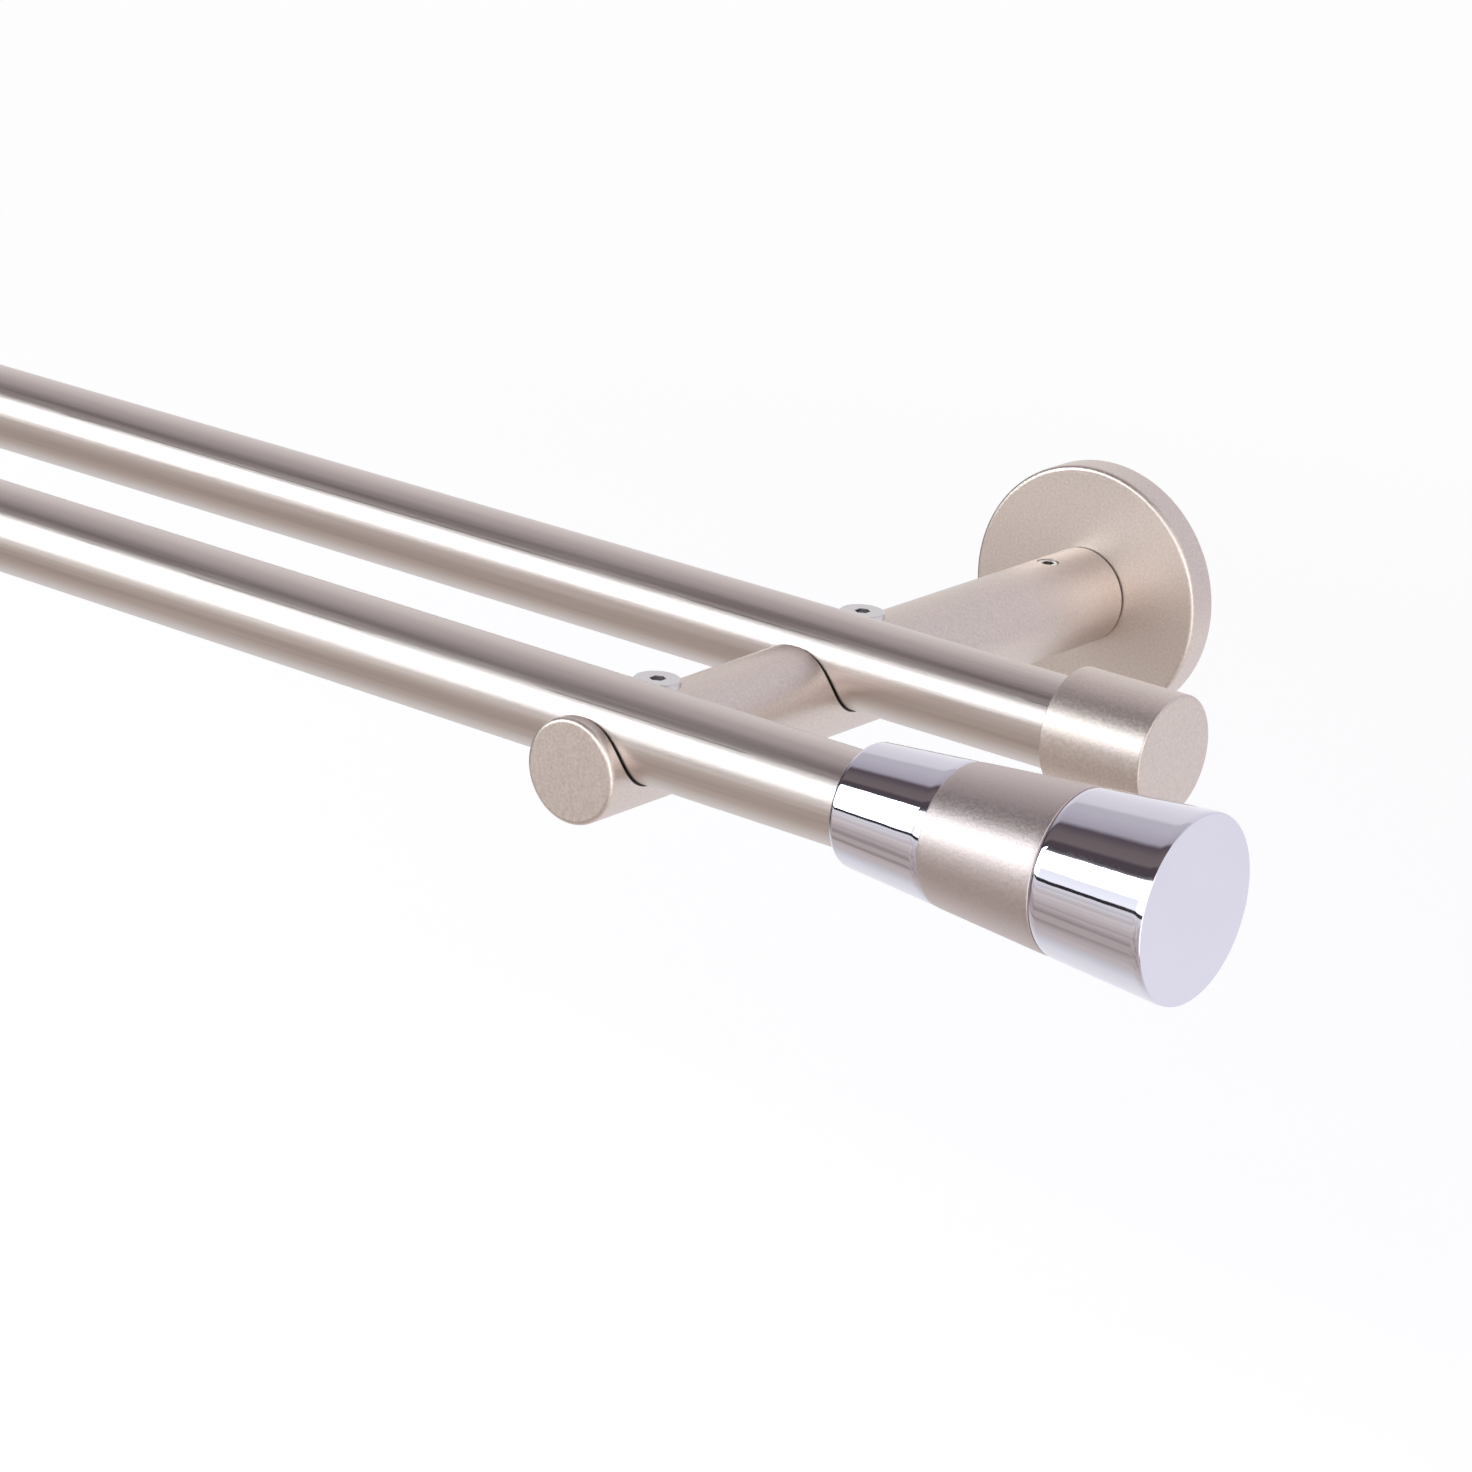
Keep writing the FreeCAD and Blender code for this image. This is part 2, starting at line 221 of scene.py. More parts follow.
@dataclass(frozen=True)
class DrawnFinish(Finish):
    """Satin plate over a drawn and welded tube: lengthwise streaks, and the weld as a faint line.

    Attributes:
        streak: Length and width of a streak in millimetres.
        weld_angle: Height of the weld round the tube in degrees, from the room upwards.
        weld_width: Width of the weld's line in degrees.
        weld_run: Length over which the weld shows and fades, in millimetres.
        weld_colour: Colour of the plate on the weld.
        axis: Where the tube's axis is along Y and Z, in metres.
    """

    streak: tuple[float, float] = (60.0, 0.7)
    weld_angle: float = 37.0
    weld_width: float = 1.8
    weld_run: float = 30.0
    weld_colour: str = "#B2A7A2"
    axis: tuple[float, float] = (0.0, 0.0)

    def weld(self, tree: bpy.types.NodeTree) -> bpy.types.NodeSocket:
        """Ridge of the weld, from 0 to 1, which fades in and out along the tube."""
        place = add_node(tree, "ShaderNodeTexCoord").outputs["Object"]
        centred = add_node(tree, "ShaderNodeVectorMath", {0: place, 1: (0.0, *self.axis)}, operation="SUBTRACT")
        parts = add_node(tree, "ShaderNodeSeparateXYZ", {0: centred.outputs[0]})
        out = add_node(tree, "ShaderNodeMath", {0: parts.outputs["Y"], 1: -1.0}, operation="MULTIPLY")
        angle = add_node(tree, "ShaderNodeMath", {0: parts.outputs["Z"], 1: out.outputs[0]}, operation="ARCTAN2")
        ridge = add_node(tree, "ShaderNodeMath", {
            0: angle.outputs[0], 1: math.radians(self.weld_angle), 2: math.radians(self.weld_width / 2)},
            operation="COMPARE")
        run = self.noise(tree, (self.weld_run,) * 3, 0.0)
        shown = add_node(tree, "ShaderNodeMapRange", {"Value": run, "From Min": 0.42, "From Max": 0.52})
        return add_node(tree, "ShaderNodeMath", {0: ridge.outputs[0], 1: shown.outputs[0]},
                        operation="MULTIPLY").outputs[0]

    def gloss(self, tree: bpy.types.NodeTree) -> bpy.types.NodeSocket:
        """Lengthwise streaks, drawn wider than the real ones so that they show."""
        length, width = self.streak
        return self.noise(tree, (length, width, width), 3.0)

    def colour(self, tree: bpy.types.NodeTree, pattern: bpy.types.NodeSocket) -> bpy.types.NodeSocket:
        """Colour of the plate, darker on the weld."""
        plate = super().colour(tree, pattern)
        return add_node(tree, "ShaderNodeMix", {0: self.weld(tree), 6: plate, 7: linear(self.weld_colour)},
                        data_type="RGBA").outputs[2]

    def height(self, tree: bpy.types.NodeTree) -> bpy.types.NodeSocket:
        """Grain with lengthwise streaks and the weld."""
        streaks = self.gloss(tree)
        mixed = add_node(tree, "ShaderNodeMix", {0: 0.5, 2: super().height(tree), 3: streaks}, data_type="FLOAT")
        return add_node(tree, "ShaderNodeMath", {0: self.weld(tree), 1: mixed.outputs[0]}, operation="ADD").outputs[0]


@dataclass(frozen=True)
class NotchShadedFinish(Finish):
    """Satin plate on the arm, with painted shade: it turns black in the notches round the poles and at the arm's foot.

    Attributes:
        notches: Where the axes of the notches are along Y and Z, in metres.
        reach: Distances from those axes where the black is full and where it ends, in millimetres.
        foot: Distances from the wall where the black is full and where it ends, in millimetres.
        black: Colour of the painted shade in the notches and at the foot, laid over the plate.
    """

    notches: tuple[tuple[float, float], ...] = ()
    reach: tuple[float, float] = (10.4, 10.6)
    foot: tuple[float, float] = (8.0, 8.3)
    # Painted shade: this black is laid over the plate in the notches and at the arm's foot.
    black: str = "#1E1815"

    def cut(self, tree: bpy.types.NodeTree) -> bpy.types.NodeSocket:
        """1 where shade is painted, in the notches and at the foot, 0 elsewhere."""
        place = add_node(tree, "ShaderNodeTexCoord").outputs["Object"]
        parts = add_node(tree, "ShaderNodeSeparateXYZ", {0: place})
        out = add_node(tree, "ShaderNodeMath", {0: parts.outputs["Y"], 1: -1.0}, operation="MULTIPLY")
        full, end = self.foot
        cut = add_node(tree, "ShaderNodeMapRange", {
            "Value": out.outputs[0], "From Min": full * MM, "From Max": end * MM, "To Min": 1.0, "To Max": 0.0}).outputs[0]
        full, end = self.reach
        for axis in self.notches:
            flat = add_node(tree, "ShaderNodeVectorMath", {0: place, 1: (0.0, 1.0, 1.0)}, operation="MULTIPLY")
            away = add_node(tree, "ShaderNodeVectorMath", {0: flat.outputs[0], 1: (0.0, *axis)}, operation="DISTANCE")
            near = add_node(tree, "ShaderNodeMapRange", {
                "Value": away.outputs["Value"], "From Min": full * MM, "From Max": end * MM, "To Min": 1.0, "To Max": 0.0})
            cut = add_node(tree, "ShaderNodeMath", {0: cut, 1: near.outputs[0]}, operation="MAXIMUM").outputs[0]
        return cut

    def colour(self, tree: bpy.types.NodeTree, pattern: bpy.types.NodeSocket) -> bpy.types.NodeSocket:
        """Colour of the plate, with black painted shade in the notches and at the foot."""
        plate = super().colour(tree, pattern)
        return add_node(tree, "ShaderNodeMix", {0: self.cut(tree), 6: plate, 7: linear(self.black)},
                        data_type="RGBA").outputs[2]


# Turned pieces


@dataclass(frozen=True)
class ProfilePoint:
    """Corner of a turned piece's outline.

    Attributes:
        along: Distance along the axis in millimetres.
        radius: Distance from the axis in millimetres.
        thread: 1 where a thread is cut, else 0.
        hexagon: 1 where the radius is that of a hexagon's corners, else 0.
    """

    along: float
    radius: float
    thread: float = 0.0
    hexagon: float = 0.0


@dataclass(frozen=True)
class Turning:
    """How an outline is turned.

    Attributes:
        sides: Number of steps round the axis.
        pitch: Distance between the thread's turns in millimetres.
        depth: Depth of the thread in millimetres.
        hole: Diameter of a hole from the axis out through one side, or 0 for none.
        hole_along: Distance of that hole along the axis.
    """

    sides: int = 96
    pitch: float = 0.8
    depth: float = 0.0
    hole: float = 0.0
    hole_along: float = 0.0


class TurningTree:
    """Geometry nodes that turn a row of points about the X axis into a closed piece."""

    INPUTS = (
        ("Profile", "NodeSocketGeometry"),
        ("Sides", "NodeSocketInt"),
        ("Thread Pitch", "NodeSocketFloat"),
        ("Thread Depth", "NodeSocketFloat"),
        ("Hole Diameter", "NodeSocketFloat"),
        ("Hole Along", "NodeSocketFloat"),
        ("Sharp Angle", "NodeSocketFloat"),
        ("Place", "NodeSocketVector"),
        ("Facing", "NodeSocketRotation"),
        ("Material", "NodeSocketMaterial"),
    )
    MERGE = 1e-6
    HOLE_SIDES = 48
    HOLE_REACH = 0.1

    def __init__(self) -> None:
        """Builds the tree with its named inputs."""
        self.tree = bpy.data.node_groups.new("turned_piece", "GeometryNodeTree")
        self.tree.is_modifier = True
        self.sockets: dict[str, str] = {}
        for name, kind in self.INPUTS:
            socket = self.tree.interface.new_socket(name, in_out="INPUT", socket_type=kind)
            self.sockets[name] = socket.identifier
        self.tree.interface.new_socket("Piece", in_out="OUTPUT", socket_type="NodeSocketGeometry")
        self.given = add_node(self.tree, "NodeGroupInput").outputs
        shell = self.drilled(self.shell())
        self.finished(shell)

    def math(self, operation: str, *values: bpy.types.NodeSocket | float) -> bpy.types.NodeSocket:
        """Result of one sum on sockets or plain numbers."""
        node = add_node(self.tree, "ShaderNodeMath", dict(enumerate(values)), operation=operation)
        return node.outputs[0]

    def sampled(self, kind: str, value: bpy.types.NodeSocket, index: bpy.types.NodeSocket) -> bpy.types.NodeSocket:
        """Value of the outline's point with an index."""
        node = add_node(self.tree, "GeometryNodeSampleIndex", data_type=kind, domain="POINT")
        self.tree.links.new(self.given["Profile"], node.inputs["Geometry"])
        self.tree.links.new(value, node.inputs["Value"])
        self.tree.links.new(index, node.inputs["Index"])
        return node.outputs["Value"]

    def flag(self, name: str, index: bpy.types.NodeSocket) -> bpy.types.NodeSocket:
        """Value of a named attribute of the outline."""
        read = add_node(self.tree, "GeometryNodeInputNamedAttribute", {"Name": name}, data_type="FLOAT")
        return self.sampled("FLOAT", read.outputs["Attribute"], index)

    def radius(self, along: bpy.types.NodeSocket, plain: bpy.types.NodeSocket, angle: bpy.types.NodeSocket,
               index: bpy.types.NodeSocket) -> bpy.types.NodeSocket:
        """Radius with the thread cut and the hexagon's flats drawn in.

        Args:
            along: Distance along the axis.
            plain: Radius of the outline.
            angle: Angle round the axis in radians.
            index: Number of the outline's point.

        Returns:
            Socket with the radius at that point and angle.
        """
        turns = self.math("SUBTRACT", self.math("DIVIDE", along, self.given["Thread Pitch"]),
                          self.math("DIVIDE", angle, math.tau))
        wave = self.math("MULTIPLY", self.math("ABSOLUTE", self.math("SUBTRACT", self.math("FRACT", turns), 0.5)), 2.0)
        cut = self.math("MULTIPLY", self.math("MULTIPLY", wave, self.given["Thread Depth"]), self.flag("thread", index))
        sixth = self.math("SUBTRACT", self.math("FRACT", self.math("DIVIDE", angle, math.pi / 3)), 0.5)
        flat = self.math("DIVIDE", math.cos(math.pi / 6), self.math("COSINE", self.math("MULTIPLY", sixth, math.pi / 3)))
        share = self.math("MULTIPLY_ADD", self.math("SUBTRACT", flat, 1.0), self.flag("hexagon", index), 1.0)
        return self.math("MULTIPLY", self.math("SUBTRACT", plain, cut), share)

    def shell(self) -> bpy.types.NodeSocket:
        """Grid of the outline's points by the steps round the axis, rolled up and closed."""
        count = add_node(self.tree, "GeometryNodeAttributeDomainSize", {"Geometry": self.given["Profile"]}, component="MESH")
        points = count.outputs["Point Count"]
        grid = add_node(self.tree, "GeometryNodeMeshGrid", {
            "Size X": 1.0, "Size Y": 1.0, "Vertices X": points,
            "Vertices Y": self.math("ADD", self.given["Sides"], 1.0)})
        spot = add_node(self.tree, "ShaderNodeSeparateXYZ", {0: add_node(self.tree, "GeometryNodeInputPosition").outputs[0]})
        row = self.math("MULTIPLY", self.math("ADD", spot.outputs["X"], 0.5), self.math("SUBTRACT", points, 1.0))
        index = self.math("ROUND", row)
        angle = self.math("MULTIPLY", self.math("ADD", spot.outputs["Y"], 0.5), math.tau)
        corner = self.sampled("FLOAT_VECTOR", add_node(self.tree, "GeometryNodeInputPosition").outputs[0], index)
        outline = add_node(self.tree, "ShaderNodeSeparateXYZ", {0: corner})
        along = outline.outputs["X"]
        radius = self.radius(along, outline.outputs["Y"], angle, index)
        place = add_node(self.tree, "ShaderNodeCombineXYZ", {
            "X": along, "Y": self.math("MULTIPLY", radius, self.math("COSINE", angle)),
            "Z": self.math("MULTIPLY", radius, self.math("SINE", angle))})
        rolled = add_node(self.tree, "GeometryNodeSetPosition", {
            "Geometry": grid.outputs["Mesh"], "Position": place.outputs[0]})
        merged = add_node(self.tree, "GeometryNodeMergeByDistance", {
            "Geometry": rolled.outputs[0], "Distance": self.MERGE})
        return add_node(self.tree, "GeometryNodeFlipFaces", {0: merged.outputs[0]}).outputs[0]

    def drilled(self, shell: bpy.types.NodeSocket) -> bpy.types.NodeSocket:
        """The shell with its cross hole, where a diameter is given."""
        drill = add_node(self.tree, "GeometryNodeMeshCylinder", {
            "Vertices": self.HOLE_SIDES, "Radius": self.math("DIVIDE", self.given["Hole Diameter"], 2.0),
            "Depth": self.HOLE_REACH})
        spot = add_node(self.tree, "ShaderNodeCombineXYZ", {"X": self.given["Hole Along"], "Z": -self.HOLE_REACH / 2})
        moved = add_node(self.tree, "GeometryNodeTransform", {
            "Geometry": drill.outputs["Mesh"], "Translation": spot.outputs[0]})
        cut = add_node(self.tree, "GeometryNodeMeshBoolean", {
            "Mesh 1": shell, "Mesh 2": moved.outputs[0]}, operation="DIFFERENCE", solver="EXACT")
        wanted = add_node(self.tree, "FunctionNodeCompare", {0: self.given["Hole Diameter"], 1: 0.0},
                          data_type="FLOAT", operation="GREATER_THAN")
        choice = add_node(self.tree, "GeometryNodeSwitch", {
            "Switch": wanted.outputs[0], "False": shell, "True": cut.outputs[0]}, input_type="GEOMETRY")
        return choice.outputs[0]

    def finished(self, shell: bpy.types.NodeSocket) -> None:
        """Smooths the shell up to its sharp edges, puts it in its place and gives it its material."""
        smooth = add_node(self.tree, "GeometryNodeSetShadeSmooth", {0: shell, "Shade Smooth": True}, domain="FACE")
        bend = add_node(self.tree, "GeometryNodeInputMeshEdgeAngle").outputs["Unsigned Angle"]
        sharp = add_node(self.tree, "FunctionNodeCompare", {0: bend, 1: self.given["Sharp Angle"]},
                         data_type="FLOAT", operation="GREATER_THAN")
        edged = add_node(self.tree, "GeometryNodeSetShadeSmooth", {
            0: smooth.outputs[0], "Selection": sharp.outputs[0], "Shade Smooth": False}, domain="EDGE")
        placed = add_node(self.tree, "GeometryNodeTransform", {
            "Geometry": edged.outputs[0], "Translation": self.given["Place"], "Rotation": self.given["Facing"]})
        real = add_node(self.tree, "GeometryNodeRealizeInstances", {"Geometry": placed.outputs[0]})
        dressed = add_node(self.tree, "GeometryNodeSetMaterial", {
            "Geometry": real.outputs[0], "Material": self.given["Material"]})
        add_node(self.tree, "NodeGroupOutput", {"Piece": dressed.outputs[0]})


@dataclass
class Workshop:
    """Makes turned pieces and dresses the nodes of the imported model.

    Attributes:
        finishes: Finish for each slot of the record.
        sharp: Angle in degrees past which an edge stays sharp.
    """

    finishes: dict[Slot, Finish]
    sharp: float = 28.0
    tree: TurningTree = field(init=False)
    materials: dict[Slot, bpy.types.Material] = field(init=False)

    def __post_init__(self) -> None:
        """Builds the node tree and the materials."""
        self.tree = TurningTree()
        self.materials = {slot: finish.material() for slot, finish in self.finishes.items()}

    def blank(self, name: str, profile: list[ProfilePoint]) -> bpy.types.Object:
        """Object that holds only the points of an outline."""
        mesh = bpy.data.meshes.new(name)
        mesh.from_pydata([(p.along * MM, p.radius * MM, 0.0) for p in profile], [], [])
        for flag in ("thread", "hexagon"):
            values = [getattr(p, flag) for p in profile]
            mesh.attributes.new(flag, "FLOAT", "POINT").data.foreach_set("value", values)
        blank = bpy.data.objects.new(name, mesh)
        bpy.context.scene.collection.objects.link(blank)
        return blank

    def turn(self, name: str, profile: list[ProfilePoint], turning: Turning, place: Vector, facing: Facing,
             slot: Slot, material: bpy.types.Material | None = None) -> bpy.types.Object:
        """Turns an outline and lets the piece stand for the node of the same name.

        Args:
            name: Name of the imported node; the piece is that name with "_turned".
            profile: Corners of the outline, with the outer side in the direction of the axis.
            turning: How the outline is turned.
            place: Where the outline's origin goes, in metres.
            facing: Where the axis points.
            slot: Slot of the record that the piece takes its finish from.
            material: Material other than the slot's own.

        Returns:
            The finished piece.
        """
        piece = self.blank(name + "_turned", profile)
        modifier = piece.modifiers.new("turned_piece", "NODES")
        modifier.node_group = self.tree.tree
        values = {
            "Sides": turning.sides, "Thread Pitch": turning.pitch * MM, "Thread Depth": turning.depth * MM,
            "Hole Diameter": turning.hole * MM, "Hole Along": turning.hole_along * MM,
            "Sharp Angle": math.radians(self.sharp), "Place": tuple(place), "Facing": facing.value,
            "Material": material or self.materials[slot],
        }
        for label, value in values.items():
            modifier[self.tree.sockets[label]] = value
        graph = bpy.context.evaluated_depsgraph_get()
        mesh = bpy.data.meshes.new_from_object(piece.evaluated_get(graph), depsgraph=graph)
        piece.modifiers.remove(modifier)
        piece.data = mesh
        mesh.name = piece.name
        mesh.materials.clear()
        mesh.materials.append(values["Material"])
        mesh.polygons.foreach_set("material_index", [0] * len(mesh.polygons))
        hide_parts(name)
        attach(piece, BODY)
        LOG.info("turned %s: %d faces", piece.name, len(mesh.polygons))
        return piece

    def dress(self, name: str, slot: Slot, material: bpy.types.Material | None = None) -> None:
        """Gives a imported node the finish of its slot, or another one."""
        worn = material or self.materials[slot]
        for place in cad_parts[name].material_slots:
            place.material = worn
        LOG.info("dressed %s in %s", name, worn.name)


def middle(name: str) -> Vector:
    """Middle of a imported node's box."""
    low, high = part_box(name)
    return (low + high) / 2


# Sub-assemblies


@dataclass
class Pole:
    """One of the two tubes.

    Attributes:
        name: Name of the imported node.
        diameter: Outer diameter.
        wall: Thickness of the tube's wall.
        chamfer: Chamfer on the outer edge of each end.
        sides: Number of steps round the axis.
    """

    name: str
    diameter: float = 20.0
    wall: float = 1.0
    chamfer: float = 0.2
    sides: int = 144

    def outline(self) -> list[ProfilePoint]:
        """Section of the tube's wall, end to end."""
        low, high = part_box(self.name)
        half = (high.x - low.x) / 2 / MM
        outer, inner = self.diameter / 2, self.diameter / 2 - self.wall
        corners = [(-half, inner), (-half, outer - self.chamfer), (-half + self.chamfer, outer),
                   (half - self.chamfer, outer), (half, outer - self.chamfer), (half, inner), (-half, inner)]
        return [ProfilePoint(*corner) for corner in corners]

    def build(self, workshop: Workshop) -> None:
        """Turns the tube about its axis and gives it a finish of its own."""
        axis = middle(self.name)
        workshop.turn(self.name, self.outline(), Turning(self.sides), axis,
                      Facing.OUTWARD_RIGHT, Slot.SATIN, tube_finish(axis).material())


@dataclass
class Screw:
    """Threaded screw with a hexagonal socket, headless or with a thin flat head.

    Attributes:
        name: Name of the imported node.
        facing: Way that its socket faces.
        slot: Slot of its finish.
        diameter: Diameter of the thread.
        pitch: Pitch of the thread.
        socket: Size of the socket across its flats.
        socket_depth: Depth of the socket.
        head: Diameter of the head, or 0 for none.
        head_height: Height of the head.
    """

    name: str
    facing: Facing
    slot: Slot
    diameter: float
    pitch: float
    socket: float
    socket_depth: float
    head: float = 0.0
    head_height: float = 0.0
    head_chamfer: float = 0.25
    tip_chamfer: float = 0.4
    steps: int = 8
    sides: int = 48

    def outline(self, length: float) -> list[ProfilePoint]:
        """Outline from the middle of the tip to the middle of the socket's floor.

        Args:
            length: Length of the whole screw.

        Returns:
            Corners of the outline, with the tip at 0.
        """
        radius = self.diameter / 2
        shank = length - self.head_height
        corners = [ProfilePoint(0.0, 0.0), ProfilePoint(0.0, radius - self.tip_chamfer)]
        step = self.pitch / self.steps
        for index in range(round((shank - self.tip_chamfer) / step)):
            corners.append(ProfilePoint(self.tip_chamfer + index * step, radius, 1.0))
        if self.head:
            corners += [ProfilePoint(shank, radius), ProfilePoint(shank, self.head / 2),
                        ProfilePoint(length - self.head_chamfer, self.head / 2),
                        ProfilePoint(length, self.head / 2 - self.head_chamfer)]
        else:
            corners.append(ProfilePoint(length, radius - self.head_chamfer))
        corner = self.socket / math.sqrt(3)
        floor = length - self.socket_depth
        mouth = 0.12
        return corners + [ProfilePoint(length, corner + mouth, 0.0, 1.0),
                          ProfilePoint(length - mouth, corner, 0.0, 1.0),
                          ProfilePoint(floor, corner, 0.0, 1.0), ProfilePoint(floor, 0.0)]

    def build(self, workshop: Workshop) -> None:
        """Turns the screw from its tip to its socket."""
        low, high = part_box(self.name)
        tip = middle(self.name)
        tip.z = low.z if self.facing is Facing.UP else high.z
        workshop.turn(self.name, self.outline((high.z - low.z) / MM),
                      Turning(self.sides, self.pitch, 0.5 * self.pitch), tip, self.facing, self.slot)


@dataclass
class Finial:
    """Conical finial at one end of the front pole: chrome collar, satin band and chrome end piece.

    Attributes:
        side: End of the pole.
        start: Diameter where the collar begins.
        end: Diameter of the end face.
        collar_rounding: Rounding of the collar's first edge.
        bore: Diameter of the collar's socket for the pole.
        bore_depth: Depth of that socket.
        stud: Diameter of the stud that holds the three parts together.
        roll: Width over which polishing rolls an edge off.
        roll_drop: How far that edge falls below the cone.
        hole: Diameter of the hole for the grub screw.
        hole_setback: Distance of that hole from the collar's start.
    """

    side: Side
    start: float = 25.4
    end: float = 37.8
    collar_rounding: float = 1.6
    bore: float = 20.1
    bore_depth: float = 18.0
    stud: float = 8.0
    stud_gap: float = 0.1
    roll: float = 2.0
    roll_drop: float = 0.28
    edge: float = 0.15
    hole: float = 4.1
    hole_setback: float = 9.0
    sides: int = 192
    steps: int = 10

    def reach(self, piece: str) -> tuple[float, float]:
        """Start and end of one of the finial's pieces, from the finial's start."""
        low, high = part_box(f"{self.side.label}_finial_{piece}")
        near, far = sorted((abs(low.x) / MM, abs(high.x) / MM))
        return near - self.root(), far - self.root()

    def root(self) -> float:
        """Distance of the finial's start from the pole's middle."""
        low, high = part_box(f"{self.side.label}_finial_collar")
        return min(abs(low.x), abs(high.x)) / MM

    def cone(self, along: float) -> float:
        """Radius of the cone at a distance from the finial's start."""
        _, length = self.reach("end")
        return (self.start + (self.end - self.start) * along / length) / 2

    def side_line(self, begin: float, finish: float, rolls: tuple[float, float]) -> list[ProfilePoint]:
        """Outer line of a piece, with its edges rolled off.

        Args:
            begin: Start of the piece.
            finish: End of the piece.
            rolls: Fall of the first and the last edge.

        Returns:
            Points along the outer line.
        """
        points = []
        shares = [index / self.steps for index in range(self.steps + 1)]
        for share in shares:
            fall = rolls[0] * (1 - share) ** 3
            along = begin + self.edge + share * self.roll
            points.append(ProfilePoint(along, self.cone(along) - fall))
        for share in shares:
            fall = rolls[1] * share ** 3
            along = finish - self.edge - (1 - share) * self.roll
            points.append(ProfilePoint(along, self.cone(along) - fall))
        first, last = points[0], points[-1]
        return [ProfilePoint(begin, first.radius - self.edge), *points,
                ProfilePoint(finish, last.radius - self.edge)]

    def collar(self) -> list[ProfilePoint]:
        """Outline of the collar: rounded start, socket for the pole and hole for the stud."""
        begin, finish = self.reach("collar")
        rounding, stud = self.collar_rounding, self.stud / 2 + self.stud_gap / 2
        line = self.side_line(begin, finish, (0.0, self.roll_drop))
        line = [point for point in line if point.along > rounding]
        nose = []
        for index in range(self.steps + 1):
            turn = math.pi / 2 * index / self.steps
            nose.append(ProfilePoint(rounding * (1 - math.sin(turn)),
                                     self.cone(rounding) - rounding * (1 - math.cos(turn))))
        bore = self.bore / 2
        return [ProfilePoint(begin, bore), *reversed(nose), *line, ProfilePoint(finish, stud),
                ProfilePoint(self.bore_depth, stud), ProfilePoint(self.bore_depth, bore), ProfilePoint(begin, bore)]

    def band(self) -> list[ProfilePoint]:
        """Outline of the band."""
        begin, finish = self.reach("band")
        hole = self.stud / 2 + self.stud_gap
        line = self.side_line(begin, finish, (self.roll_drop / 3, self.roll_drop / 3))
        return [ProfilePoint(begin, hole), *line, ProfilePoint(finish, hole), ProfilePoint(begin, hole)]

    def end_piece(self) -> list[ProfilePoint]:
        """Outline of the end piece with its stud."""
        tip, finish = self.reach("end")
        _, begin = self.reach("band")
        stud = self.stud / 2
        line = self.side_line(begin, finish, (self.roll_drop, self.roll_drop))
        return [ProfilePoint(tip, 0.0), ProfilePoint(tip, stud), ProfilePoint(begin, stud), *line,
                ProfilePoint(finish, 0.0)]

    def build(self, workshop: Workshop) -> None:
        """Turns the three parts and the grub screw."""
        label = self.side.label
        place = middle(f"{label}_finial_collar")
        place.x = math.copysign(self.root() * MM, place.x)
        facing = Facing.OUTWARD_RIGHT if self.side is Side.RIGHT else Facing.OUTWARD_LEFT
        plain = Turning(self.sides)
        drilled = Turning(self.sides, hole=self.hole, hole_along=self.hole_setback)
        workshop.turn(f"{label}_finial_collar", self.collar(), drilled, place, facing, Slot.CHROME)
        workshop.turn(f"{label}_finial_band", self.band(), plain, place, facing, Slot.SATIN,
                      band_finish(self.side).material())
        workshop.turn(f"{label}_finial_end", self.end_piece(), plain, place, facing, Slot.CHROME)
        Screw(f"{label}_finial_grub_screw", Facing.DOWN, Slot.ZINC, 4.0, 0.7, 2.0, 1.61).build(workshop)


@dataclass
class EndCap:
    """Plain cap at one end of the rear pole."""

    side: Side

    def build(self, workshop: Workshop) -> None:
        """Dresses the cap and turns its grub screw."""
        label = self.side.label
        workshop.dress(f"{label}_end_cap", Slot.SATIN)
        Screw(f"{label}_end_cap_grub_screw", Facing.DOWN, Slot.ZINC, 4.0, 0.7, 2.0, 1.43).build(workshop)


@dataclass
class WallBracket:
    """Wall plate, cover and round arm, with the screws that hold the arm and the poles."""

    side: Side

    def build(self, workshop: Workshop) -> None:
        """Dresses the bracket and turns its screws."""
        label = self.side.label
        workshop.dress(f"{label}_wall_plate", Slot.ZINC)
        workshop.dress(f"{label}_wall_cover", Slot.SATIN)
        workshop.dress(f"{label}_bracket_arm", Slot.SATIN, arm_finish(self.side).material())
        Screw(f"{label}_arm_grub_screw", Facing.UP, Slot.ZINC, 5.0, 0.8, 2.5, 1.8).build(workshop)
        for place in ("rear", "front"):
            Screw(f"{label}_{place}_clamp_screw", Facing.UP, Slot.SCREW, 5.0, 0.8, 3.0, 2.4,
                  10.0, 1.45).build(workshop)


# Studio and camera


@dataclass(frozen=True)
class Tone:
    """Colour that a reflection meets in one direction round the poles.

    Attributes:
        angle: Degrees round the X axis, 0 towards the room, 90 up and -90 down.
        colour: Colour there.
    """

    angle: float
    colour: str


@dataclass(frozen=True)
class SoftLight:
    """Upright soft light in front of the poles.

    Attributes:
        name: Name of the lamp.
        span: Its two ends along X in metres.
        rise: Its lower and upper edge in metres.
        level: Brightness, where 1 is the white of the backdrop.
        colour: Colour of the light, cool enough to leave the highlights on the warm plate neutral.
    """

    name: str
    span: tuple[float, float]
    rise: tuple[float, float]
    level: float
    colour: str = "#F1FBFF"


@dataclass(frozen=True)
class Card:
    """Pale card that stands to one side.

    Attributes:
        way: Direction in which it stands.
        edge: Cosines of the angles from that direction at which it begins and is full.
        level: Brightness, where 1 is the white of the backdrop.
        colour: Colour of the card.
    """

    way: tuple[float, float, float]
    edge: tuple[float, float]
    level: float
    colour: str = "#FFFFFF"


